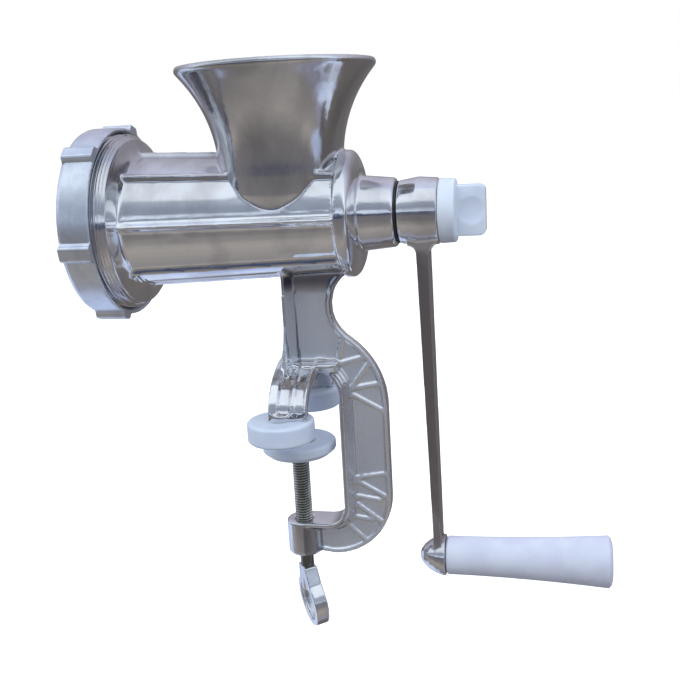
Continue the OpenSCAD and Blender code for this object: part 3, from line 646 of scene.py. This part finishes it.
class Bench:
    """Models and dresses pieces with the usual mesh tools."""

    @staticmethod
    def only(obj: bpy.types.Object) -> None:
        """Selects one object and makes it active.

        Args:
            obj: The object.
        """
        if bpy.context.object and bpy.context.object.mode != "OBJECT":
            bpy.ops.object.mode_set(mode="OBJECT")
        bpy.ops.object.select_all(action="DESELECT")
        obj.select_set(True)
        bpy.context.view_layer.objects.active = obj

    @staticmethod
    def edit(obj: bpy.types.Object, select: str = "SELECT") -> None:
        """Opens a piece in edit mode with everything, or nothing, selected.

        Args:
            obj: The piece.
            select: SELECT or DESELECT.
        """
        Bench.only(obj)
        bpy.ops.object.mode_set(mode="EDIT")
        bpy.ops.mesh.select_all(action=select)

    @staticmethod
    def pick(obj: bpy.types.Object, wanted: Callable[[Vector], bool]) -> None:
        """Opens a piece in edit mode with some of its vertices selected.

        Args:
            obj: The piece.
            wanted: Tells from a vertex's place whether it is selected.
        """
        Bench.edit(obj, "DESELECT")
        bpy.ops.mesh.select_mode(type="VERT")
        Bench.done()
        for vertex in obj.data.vertices:
            vertex.select = wanted(vertex.co)
        bpy.ops.object.mode_set(mode="EDIT")

    @staticmethod
    def melt(obj: bpy.types.Object, wanted: Callable[[Vector], bool], passes: int) -> None:
        """Runs the metal together in the corners of one region, which gives them a wide radius.

        Args:
            obj: The piece.
            wanted: Tells from a vertex's place whether it lies in the region.
            passes: Smoothing passes.
        """
        group = obj.vertex_groups.new(name="corner")
        group.add([v.index for v in obj.data.vertices if wanted(v.co)], 1.0, "REPLACE")
        Bench.apply(obj, "SMOOTH", {"factor": 0.5, "iterations": passes, "vertex_group": group.name})
        obj.vertex_groups.clear()

    @staticmethod
    def done() -> None:
        """Leaves edit mode."""
        bpy.ops.object.mode_set(mode="OBJECT")

    @staticmethod
    def apply(obj: bpy.types.Object, kind: str, settings: dict[str, Any]) -> None:
        """Adds a modifier and applies it.

        Args:
            obj: The piece.
            kind: The modifier's type.
            settings: Its settings.
        """
        Bench.only(obj)
        modifier = obj.modifiers.new(kind.lower(), kind)
        for key, value in settings.items():
            setattr(modifier, key, value)
        bpy.ops.object.modifier_apply(modifier=modifier.name)

    @staticmethod
    def copy(node: str, name: str) -> bpy.types.Object:
        """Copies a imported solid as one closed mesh.

        Args:
            node: The solid's name.
            name: The new piece's name.

        Returns:
            The copy, with its loose triangles merged.
        """
        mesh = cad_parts[node].data.copy()
        mesh.materials.clear()
        obj = bpy.data.objects.new(name, mesh)
        bpy.context.scene.collection.objects.link(obj)
        Bench.only(obj)
        if mesh.has_custom_normals:
            bpy.ops.mesh.customdata_custom_splitnormals_clear()
        Bench.edit(obj)
        bpy.ops.mesh.remove_doubles(threshold=2 * WELD)
        Bench.done()
        return obj

    @staticmethod
    def cast(obj: bpy.types.Object, grid_mm: float, passes: int, most: int = 0) -> bpy.types.Object:
        """Rounds a solid as a casting is: every edge and corner gets a small radius.

        Args:
            obj: The piece.
            grid_mm: Size of the mesh that it is remade in.
            passes: Smoothing passes; more give larger radii.
            most: Largest number of triangles, or 0 for no limit.

        Returns:
            The same piece.
        """
        Bench.apply(obj, "REMESH", {"mode": "VOXEL", "voxel_size": grid_mm * MM, "use_smooth_shade": True})
        Bench.apply(obj, "SMOOTH", {"factor": 0.5, "iterations": passes})
        if most:
            Bench.thin(obj, most)
        return obj

    @staticmethod
    def true_faces(obj: bpy.types.Object, node: str, wanted: Callable[[Vector], bool] | None = None) -> None:
        """Gives a remade piece the normals of the solid it stands for, which keeps its flats and rounds true.

        Args:
            obj: The piece.
            node: The solid's name.
            wanted: Tells from a vertex's place whether it is included; none includes them all.
        """
        group = obj.vertex_groups.new(name="true")
        group.add([v.index for v in obj.data.vertices if wanted is None or wanted(v.co)], 1.0, "REPLACE")
        settings = {
            "object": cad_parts[node],
            "use_loop_data": True,
            "data_types_loops": {"CUSTOM_NORMAL"},
            "loop_mapping": "POLYINTERP_NEAREST",
            "vertex_group": group.name,
        }
        Bench.apply(obj, "DATA_TRANSFER", settings)
        obj.vertex_groups.clear()

    @staticmethod
    def thin(obj: bpy.types.Object, most: int) -> None:
        """Takes out triangles where the surface is flattest.

        Args:
            obj: The piece.
            most: Largest number of triangles left.
        """
        triangles = sum(len(p.vertices) - 2 for p in obj.data.polygons)
        if triangles > most:
            Bench.apply(obj, "DECIMATE", {"ratio": most / triangles})

    @staticmethod
    def outline(name: str, points: Sequence[Point]) -> bpy.types.Object:
        """Draws an open line, point by point, by extruding a single vertex.

        Args:
            name: The piece's name.
            points: The line's points, in metres.

        Returns:
            The piece, left in edit mode with all of it selected.
        """
        bpy.ops.object.select_all(action="DESELECT")
        bpy.ops.mesh.primitive_plane_add(size=MM, location=(0, 0, 0))
        obj = bpy.context.object
        obj.name = obj.data.name = name
        Bench.edit(obj)
        bpy.ops.mesh.merge(type="CENTER")
        bpy.ops.transform.translate(value=points[0])
        for start, end in zip(points, points[1:]):
            step = tuple(e - s for s, e in zip(start, end))
            bpy.ops.mesh.extrude_region_move(TRANSFORM_OT_translate={"value": step})
        bpy.ops.mesh.select_all(action="SELECT")
        return obj

    @staticmethod
    def tidy(obj: bpy.types.Object) -> None:
        """Merges doubles and turns the faces outwards.

        Args:
            obj: The piece.
        """
        Bench.edit(obj)
        bpy.ops.mesh.remove_doubles(threshold=WELD)
        bpy.ops.mesh.normals_make_consistent(inside=False)
        Bench.done()

    @staticmethod
    def turned(
        name: str,
        profile: Sequence[tuple[float, float]],
        axis: Axis,
        centre: Point,
        steps: int,
        bevel_mm: float,
    ) -> bpy.types.Object:
        """Turns a profile about an axis, as on a lathe.

        Args:
            name: The piece's name.
            profile: (along the axis, radius) points in millimetres.
            axis: The axis.
            centre: A point on the axis, in metres.
            steps: Facets round the piece.
            bevel_mm: Rounding of the sharp edges.

        Returns:
            The piece.
        """
        obj = Bench.outline(name, [tuple(Vector(centre) + axis.point(a, r)) for a, r in profile])
        bpy.ops.mesh.spin(steps=steps, angle=math.tau, center=centre, axis=axis.value)
        Bench.done()
        Bench.tidy(obj)
        sharp = {"limit_method": "ANGLE", "angle_limit": math.radians(35)}
        Bench.apply(obj, "BEVEL", {"width": bevel_mm * MM, "segments": 2, **sharp})
        Bench.soften(obj)
        return obj

    @staticmethod
    def coil(
        name: str,
        base: float,
        crest: float,
        width: float,
        lead: float,
        turns: int,
        start: Point,
        axis: Axis,
        steps: int,
    ) -> bpy.types.Object:
        """Winds a ridge round an axis, as a thread.

        Args:
            name: The piece's name.
            base: Radius at the ridge's foot, in millimetres.
            crest: Radius at its crest, in millimetres.
            width: Width of its foot, in millimetres.
            lead: How far a turn climbs, in millimetres.
            turns: Number of turns.
            start: Where it starts on the axis, in metres.
            axis: The axis.
            steps: Facets in a turn.

        Returns:
            The closed ridge.
        """
        tooth = [(0, base), (0.42 * width, crest), (0.58 * width, crest), (width, base), (0, base)]
        obj = Bench.outline(name, [tuple(axis.point(a, r)) for a, r in tooth])
        bpy.ops.mesh.remove_doubles(threshold=WELD)
        Bench.done()
        settings = {
            "axis": "X" if axis is Axis.BARREL else "Z",
            "angle": math.tau,
            "screw_offset": lead * MM,
            "iterations": turns,
            "steps": steps,
            "render_steps": steps,
        }
        Bench.apply(obj, "SCREW", settings)
        Bench.edit(obj)
        bpy.ops.transform.translate(value=start)
        bpy.ops.mesh.remove_doubles(threshold=WELD)
        bpy.ops.mesh.select_all(action="SELECT")
        bpy.ops.mesh.fill_holes(sides=6)
        bpy.ops.mesh.normals_make_consistent(inside=False)
        Bench.done()
        Bench.soften(obj, 40)
        return obj

    @staticmethod
    def soften(obj: bpy.types.Object, degrees: float = 32) -> None:
        """Shades smooth, except across edges sharper than an angle."""
        Bench.only(obj)
        bpy.ops.object.shade_smooth_by_angle(angle=math.radians(degrees))

    @staticmethod
    def join(pieces: Sequence[bpy.types.Object]) -> bpy.types.Object:
        """Joins pieces into the first one.

        Args:
            pieces: The pieces.

        Returns:
            The first one.
        """
        Bench.only(pieces[0])
        for piece in pieces[1:]:
            piece.select_set(True)
        bpy.ops.object.join()
        return pieces[0]

    @staticmethod
    def dress(
        obj: bpy.types.Object,
        finish: bpy.types.Material,
        rides: Rides,
        slot: str,
        replaced: Iterable[str] = (),
    ) -> None:
        """slot: Not used. The material slot that it takes its finish from.
            replaced: The solids that it replaces.
        """
        obj.data.materials.clear()
        obj.data.materials.append(finish)
        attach(obj, rides.value)
        if replaced:
            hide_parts(*replaced)
        LOG.info("%s: %d faces", obj.name, len(obj.data.polygons))

    @staticmethod
    def paint(node: str, finish: bpy.types.Material) -> None:
        """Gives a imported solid, which keeps its own mesh, a finish.

        Args:
            node: The solid's name.
            finish: Its material.
        """
        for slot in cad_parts[node].material_slots:
            slot.material = finish
        LOG.info("%s: kept, %s", node, finish.name)


@dataclass
class Casting:
    """The body: barrel, hopper, neck, stem, legs, clamp frame and screw boss in one casting.

    Attributes:
        grid_mm: Size of the mesh that the casting is made in.
        passes: Smoothing passes that round its edges.
        corner_passes: Further passes in the corners that have a wide radius.
        most: Largest number of triangles.
        mouth_mm: Place of the barrel's mouth along its axis.
        cone_mm: Place where the collar ends and its cone starts.
        collar_mm: Radius over the collar's thread.
        blank_mm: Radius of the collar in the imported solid.
        root_mm: Radius at the root of the thread.
        lead_mm: How far the two-start thread climbs in a turn.
        axis_z: Height of the barrel's axis.
    """

    grid_mm: float = 0.58
    passes: int = 4
    corner_passes: int = 36
    most: int = 192000
    mouth_mm: float = -81.0
    cone_mm: float = -69.9
    collar_mm: float = 38.45
    blank_mm: float = 38.5
    root_mm: float = 37.5
    lead_mm: float = 3.0
    axis_z: float = 0.093

    def build(self) -> None:
        """Builds and dresses the casting and what is fixed to it."""
        polished = POLISHED.material()
        body = Bench.copy("body_casting", "casting")
        self.cut_collar(body)
        Bench.cast(body, self.grid_mm, 1)
        Bench.melt(body, lambda place: not TRUSS.holds(place), self.passes)
        Bench.melt(body, lambda place: UNDER_BARREL.holds(place) or SADDLE.holds(place), self.corner_passes)
        Bench.thin(body, self.most)
        Bench.true_faces(body, "body_casting", STEM_FRONT.holds)
        Bench.dress(body, polished, Rides.FRAME, "polished_casting", ["body_casting"])
        thread = Bench.join([self.thread(0.0), self.thread(self.lead_mm / 2), self.run_out()])
        Bench.dress(thread, polished, Rides.FRAME, "polished_casting")
        Bench.paint("neck_bush", BLACK_NYLON.material())
        Bench.paint("plate_key_pin", GROUND.material())

    def cut_collar(self, body: bpy.types.Object) -> None:
        """Turns the collar down to the root of its thread.

        Args:
            body: The casting.
        """
        share = self.root_mm / self.blank_mm
        outer = (self.root_mm - 0.3) * MM
        Bench.pick(body, lambda p: p.x < self.cone_mm * MM and math.hypot(p.y, p.z - self.axis_z) > outer)
        bpy.ops.transform.resize(value=(1, share, share), center_override=(0, 0, self.axis_z))
        Bench.done()

    def thread(self, shift_mm: float) -> bpy.types.Object:
        """Cuts one start of the collar's thread.

        Args:
            shift_mm: How far from the first start it begins.

        Returns:
            The thread's ridge.
        """
        foot, width, turns, steps = self.root_mm - 0.4, 1.45, 3, 128
        start = ((self.mouth_mm + 0.7 + shift_mm) * MM, 0, self.axis_z)
        name, crest, lead = "collar_thread", self.collar_mm, self.lead_mm
        return Bench.coil(name, foot, crest, width, lead, turns, start, Axis.BARREL, steps)

    def run_out(self) -> bpy.types.Object:
        """Turns the last ridges, which run out on the cone behind the collar.

        Returns:
            The ring that carries them.
        """
        front, back, inner, ridges, step, fall = -70.6, -65.5, 34.2, 4, 1.25, 0.62
        profile = [(front, 36.2)]
        for i in range(ridges):
            x, r = -70.5 + step * i, 37.9 - fall * i
            profile += [(x, r - 0.45), (x + 0.5, r + 0.3), (x + 0.8, r + 0.28)]
        profile += [(back, 35.3), (back, inner), (front, inner), (front, 36.2)]
        return Bench.turned("run_out", profile, Axis.BARREL, (0, 0, self.axis_z), 144, 0.08)


@dataclass
class CuttingEnd:
    """Ring nut, mincing plate, knife and their stud.

    Attributes:
        grid_mm: Size of the mesh that the nut is made in.
        passes: Smoothing passes that round its edges.
        most: Largest number of triangles in it.
    """

    grid_mm: float = 0.42
    passes: int = 6
    most: int = 190000

    def build(self) -> None:
        """Builds and dresses the cutting end."""
        nut = Bench.cast(Bench.copy("ring_nut", "ring_nut_tumbled"), self.grid_mm, self.passes, self.most)
        Bench.true_faces(nut, "ring_nut")
        Bench.dress(nut, TUMBLED.material(), Rides.NUT, "tumbled_aluminium", ["ring_nut"])
        steel = GROUND.material()
        for node in ("mincing_plate", "knife", "knife_stud"):
            Bench.paint(node, steel)


@dataclass
class FeedLine:
    """Feed screw and its thrust washer.

    Attributes:
        grid_mm: Size of the mesh that the feed screw is made in.
        passes: Smoothing passes that round its edges.
        most: Largest number of triangles in it.
    """

    grid_mm: float = 0.7
    passes: int = 6
    most: int = 120000

    def build(self) -> None:
        """Builds and dresses the feed screw."""
        screw = Bench.cast(Bench.copy("feed_screw", "feed_screw_cast"), self.grid_mm, self.passes, self.most)
        Bench.dress(screw, FEED_CAST.material(), Rides.FEED, "feed_casting", ["feed_screw"])
        Bench.paint("thrust_washer", FIBRE.material())


@dataclass
class Crank:
    """Crank arm with its hub, grip, spindle and thumb knob.

    Attributes:
        grid_mm: Size of the mesh that the arm is made in.
        knob_grid_mm: Size of the mesh that the knob is made in.
        passes: Smoothing passes that round their edges.
        most: Largest number of triangles in the arm.
        knob_most: Largest number of triangles in the knob.
        arm_mm: Heights between which the arm is flat-sided.
    """

    grid_mm: float = 0.4
    knob_grid_mm: float = 0.35
    passes: int = 5
    most: int = 190000
    knob_most: int = 120000
    arm_mm: tuple[float, float] = (-55.0, 76.0)

    def build(self) -> None:
        """Builds and dresses the crank."""
        low, high = (z * MM for z in self.arm_mm)
        arm = Bench.cast(Bench.copy("crank_arm", "crank_casting"), self.grid_mm, self.passes, self.most)
        Bench.true_faces(arm, "crank_arm", lambda place: low < place.z < high)
        Bench.dress(arm, CRANK_CAST.material(), Rides.CRANK, "crank_casting", ["crank_arm"])
        knob = Bench.copy("thumb_knob", "thumb_knob_moulded")
        Bench.cast(knob, self.knob_grid_mm, self.passes, self.knob_most)
        Bench.dress(knob, KNOB_WHITE.material(), Rides.KNOB, "knob_plastic", ["thumb_knob"])
        grip = Bench.copy("grip", "grip_moulded")
        Bench.soften(grip)
        Bench.dress(grip, GRIP_WHITE.material(), Rides.GRIP, "grip_plastic", ["grip"])
        zinc = ZINC.material()
        for node in ("grip_spindle", "knob_stud"):
            Bench.paint(node, zinc)


@dataclass
class TableClamp:
    """Upper pads, clamp pad, threaded screw and wing handle.

    Attributes:
        screw_x_mm: Distance of the screw's axis from the pads' axes.
        crest_mm: Radius over the thread.
        root_mm: Radius at the thread's root.
        pitch_mm: Pitch of the thread.
        shank_mm: Radius of the plain shank under the boss.
        journal_mm: Radius of the end that turns in the clamp pad.
        tenon_mm: Radius of the end that is pressed into the wing handle.
        heights_mm: Heights of the tenon's end, the handle's top, the thread's ends and the rivet head.
        pad_grid_mm: Size of the mesh that the pads are made in.
        pad_passes: Smoothing passes that round the upper pads.
        disc_passes: Smoothing passes that round the clamp pad.
        wing_grid_mm: Size of the mesh that the wing handle is made in.
        wing_passes: Smoothing passes that round the wing handle.
        wing_most: Largest number of triangles in the wing handle.
    """

    screw_x_mm: float = 0.4
    crest_mm: float = 3.98
    root_mm: float = 3.3
    pitch_mm: float = 1.25
    shank_mm: float = 3.1
    journal_mm: float = 3.0
    tenon_mm: float = 2.1
    heights_mm: tuple[float, ...] = (-79.8, -70.8, -64.6, -15.5, -10.15)
    pad_grid_mm: float = 0.4
    pad_passes: int = 5
    disc_passes: int = 4
    wing_grid_mm: float = 0.3
    wing_passes: int = 26
    wing_most: int = 120000

    def build(self) -> None:
        """Builds and dresses the clamp."""
        white = PAD_WHITE.material()
        for side in ("front", "back"):
            node = f"table_pad_{side}"
            pad = Bench.cast(Bench.copy(node, f"{node}_moulded"), self.pad_grid_mm, self.pad_passes)
            Bench.dress(pad, white, Rides.FRAME, "pad_plastic", [node])
        pad = Bench.cast(Bench.copy("clamp_pad", "clamp_pad_moulded"), self.pad_grid_mm, self.disc_passes)
        Bench.dress(pad, white, Rides.PAD, "pad_plastic", ["clamp_pad"])
        zinc = ZINC.material()
        Bench.paint("pad_washer", zinc)
        Bench.dress(self.screw(), zinc, Rides.SCREW, "plated_steel", ["clamp_screw"])
        handle = Bench.copy("wing_handle", "wing_handle_cast")
        Bench.cast(handle, self.wing_grid_mm, self.wing_passes, self.wing_most)
        Bench.dress(handle, HANDLE.material(), Rides.SCREW, "polished_casting", ["wing_handle"])

    def screw(self) -> bpy.types.Object:
        """Turns the clamp screw and cuts its thread.

        Returns:
            The screw.
        """
        tenon, shoulder, low, high, head = self.heights_mm
        core, rivet, crown = self.root_mm + 0.1, self.journal_mm + 1.6, self.journal_mm + 1.2
        profile = [
            (tenon, 0),
            (tenon, self.tenon_mm),
            (shoulder, self.tenon_mm),
            (shoulder, self.shank_mm),
            (low, self.shank_mm),
            (low + 0.6, core),
            (high, core),
            (high, self.journal_mm),
            (head, self.journal_mm),
            (head, rivet),
            (head + 0.7, crown),
            (head + 1.0, 0),
        ]
        centre = (self.screw_x_mm * MM, 0, 0)
        shank = Bench.turned("clamp_screw_turned", profile, Axis.UPRIGHT, centre, 64, 0.12)
        start = (centre[0], 0, (low + 0.4) * MM)
        turns = int((high - low - 0.8) / self.pitch_mm)
        root, crest, pitch, axis, steps = self.root_mm, self.crest_mm, self.pitch_mm, Axis.UPRIGHT, 28
        thread = Bench.coil("clamp_thread", root, crest, 0.98 * pitch, pitch, turns, start, axis, steps)
        return Bench.join([shank, thread])


@dataclass
class Studio:
    """Floor, light and camera.

    Attributes:
        floor_z: Height of the floor, under the lowest reach of the clamp screw's handle.
        eye: The camera's place.
        yaw: The camera's turn from +Y towards -X, in degrees.
        pitch: Its tilt downwards, in degrees.
        roll: Its turn about its own axis, in degrees.
        lens: Focal length in millimetres, on a frame 36 wide.
    """

    floor_z: float
    eye: Point = (0.1110, -0.3903, 0.1296)
    yaw: float = 12.82
    pitch: float = 12.93
    roll: float = -3.24
    lens: float = 49.22

    def build(self) -> None:
        """Builds floor, light and camera."""
        self.floor()
        self.world()
        self.lamps()
        self.camera()

    def floor(self) -> None:
        """Lays the floor."""
        bpy.ops.object.select_all(action="DESELECT")
        bpy.ops.mesh.primitive_plane_add(size=16, location=(0, 0, self.floor_z))
        floor = bpy.context.object
        floor.name = "floor"
        floor.data.materials.append(FloorFinish().material())
        floor.visible_glossy = floor.visible_diffuse = False

    def camera(self) -> None:
        """Sets the camera at the photograph's angle."""
        yaw, pitch, roll = (math.radians(a) for a in (self.yaw, self.pitch, self.roll))
        ahead = Vector((-math.sin(yaw) * math.cos(pitch), math.cos(yaw) * math.cos(pitch), -math.sin(pitch)))
        level = Vector((math.cos(yaw), math.sin(yaw), 0))
        over = level.cross(ahead)
        right = level * math.cos(roll) + over * math.sin(roll)
        up = over * math.cos(roll) - level * math.sin(roll)
        data = bpy.data.cameras.new("camera")
        data.lens, data.sensor_width, data.sensor_fit = self.lens, 36.0, "HORIZONTAL"
        data.clip_start = 0.01
        camera = bpy.data.objects.new("camera", data)
        bpy.context.scene.collection.objects.link(camera)
        turn = Matrix((right, up, -ahead)).transposed()
        camera.matrix_world = Matrix.Translation(self.eye) @ turn.to_4x4()
        bpy.context.scene.camera = camera

    def lamp(
        self, name: str, place: Point, aim: Point, size: tuple[float, float], power: float, tint: Colour
    ) -> None:
        """Hangs a soft box, which polished metal doesn't show.

        Args:
            name: Its name.
            place: Its centre.
            aim: The point that it faces.
            size: Its width and height.
            power: Its power in watts.
            tint: Its colour.
        """
        data = bpy.data.lights.new(name, "AREA")
        data.shape, data.size, data.size_y = "RECTANGLE", size[0], size[1]
        data.energy, data.color = power, tint
        obj = bpy.data.objects.new(name, data)
        bpy.context.scene.collection.objects.link(obj)
        obj.visible_glossy = False
        obj.location = place
        obj.rotation_euler = (Vector(place) - Vector(aim)).to_track_quat("Z", "Y").to_euler()

    def lamps(self) -> None:
        """Hangs the soft boxes."""
        self.lamp("key_box", (-0.35, -0.95, 0.95), (0, 0, 0.05), (1.3, 0.9), 7.5, (0.94, 0.97, 1.0))
        self.lamp("side_box", (1.0, -0.5, 0.5), (0, 0, 0.03), (0.9, 0.9), 2.3, (0.95, 0.97, 1.0))
        self.lamp("back_box", (0.3, 1.1, 0.8), (0, 0, 0.05), (1.2, 0.6), 3, (0.95, 0.97, 1.0))

    def world(self) -> None:
        """Wraps the studio in soft walls: brown below, navy at the horizon, white above and lilac behind."""
        t = Tree("studio", world=True)
        turn = t.z.step("ARCTAN2", -1.0 * t.y) * (0.5 / math.pi) + 0.5
        degrees = {
            -180: (0.18, 0.17, 0.18),
            -125: (0.17, 0.155, 0.145),
            -100: (0.12, 0.11, 0.108),
            -90: (0.34, 0.34, 0.46),
            -80: (0.28, 0.265, 0.26),
            -48: (0.38, 0.355, 0.335),
            -24: (0.21, 0.20, 0.20),
            -5: (0.19, 0.185, 0.195),
            -1: (0.05, 0.06, 0.11),
            4: (0.05, 0.07, 0.15),
            7: (0.80, 0.90, 1.05),
            11: (0.80, 0.90, 1.05),
            16: (0.26, 0.30, 0.38),
            34: (0.36, 0.41, 0.50),
            46: (0.92, 1.0, 1.10),
            80: (0.92, 1.0, 1.10),
            92: (0.66, 0.76, 0.98),
            112: (0.66, 0.68, 0.82),
            150: (0.52, 0.51, 0.61),
            176: (0.24, 0.23, 0.24),
        }
        light = t.ramp(turn, [((d + 180) / 360, colour) for d, colour in degrees.items()])
        panes = (
            ((-0.92, 0.31, -0.22), 0.940, 0.980, (0.68, 0.80, 1.05)),
            ((-0.85, 0.13, -0.50), 0.945, 0.980, (0.68, 0.80, 1.05)),
            ((-0.59, 0.19, -0.78), 0.955, 0.980, (0.66, 0.76, 1.00)),
            ((-0.44, 0.44, -0.78), 0.950, 0.980, (0.66, 0.76, 1.00)),
            ((-0.66, 0.60, -0.46), 0.950, 0.980, (0.62, 0.72, 0.95)),
            ((-0.38, 0.84, -0.38), 0.950, 0.975, (0.48, 0.54, 0.70)),
            ((0.31, 0.47, -0.82), 0.982, 0.994, (0.64, 0.74, 0.98)),
            ((0.53, 0.28, -0.80), 0.982, 0.994, (0.70, 0.80, 1.04)),
            ((0.72, 0.11, -0.68), 0.982, 0.994, (0.64, 0.74, 0.98)),
            ((0.97, -0.12, -0.23), 0.985, 0.995, (0.48, 0.56, 0.76)),
            ((-0.22, 0.38, -0.90), 0.988, 0.996, (0.50, 0.60, 0.92)),
        )
        for aim, edge, full, tint in panes:
            share = (aim[0] * t.x + aim[1] * t.y + aim[2] * t.z).rise(edge, full)
            light = t.colour(share, light, tint)
        seen = Amount(t, t.node("ShaderNodeLightPath").outputs["Is Camera Ray"])
        light = t.colour(seen, light, (1.0, 1.0, 1.0))
        shader = t.node("ShaderNodeBackground", inputs={0: light})
        t.node("ShaderNodeOutputWorld", inputs={0: shader.outputs[0]})
        bpy.context.scene.world = t.owner
        bpy.context.scene.view_settings.view_transform = "Standard"


def main() -> None:
    """Builds the grinder and its studio."""
    logging.basicConfig(level=logging.INFO, format="%(message)s")
    for part in (Casting(), CuttingEnd(), FeedLine(), Crank(), TableClamp()):
        part.build()
    Studio(floor_z=CAD_BOX[0][2] - 31 * MM).build()


if __name__ == "__main__":
    main()
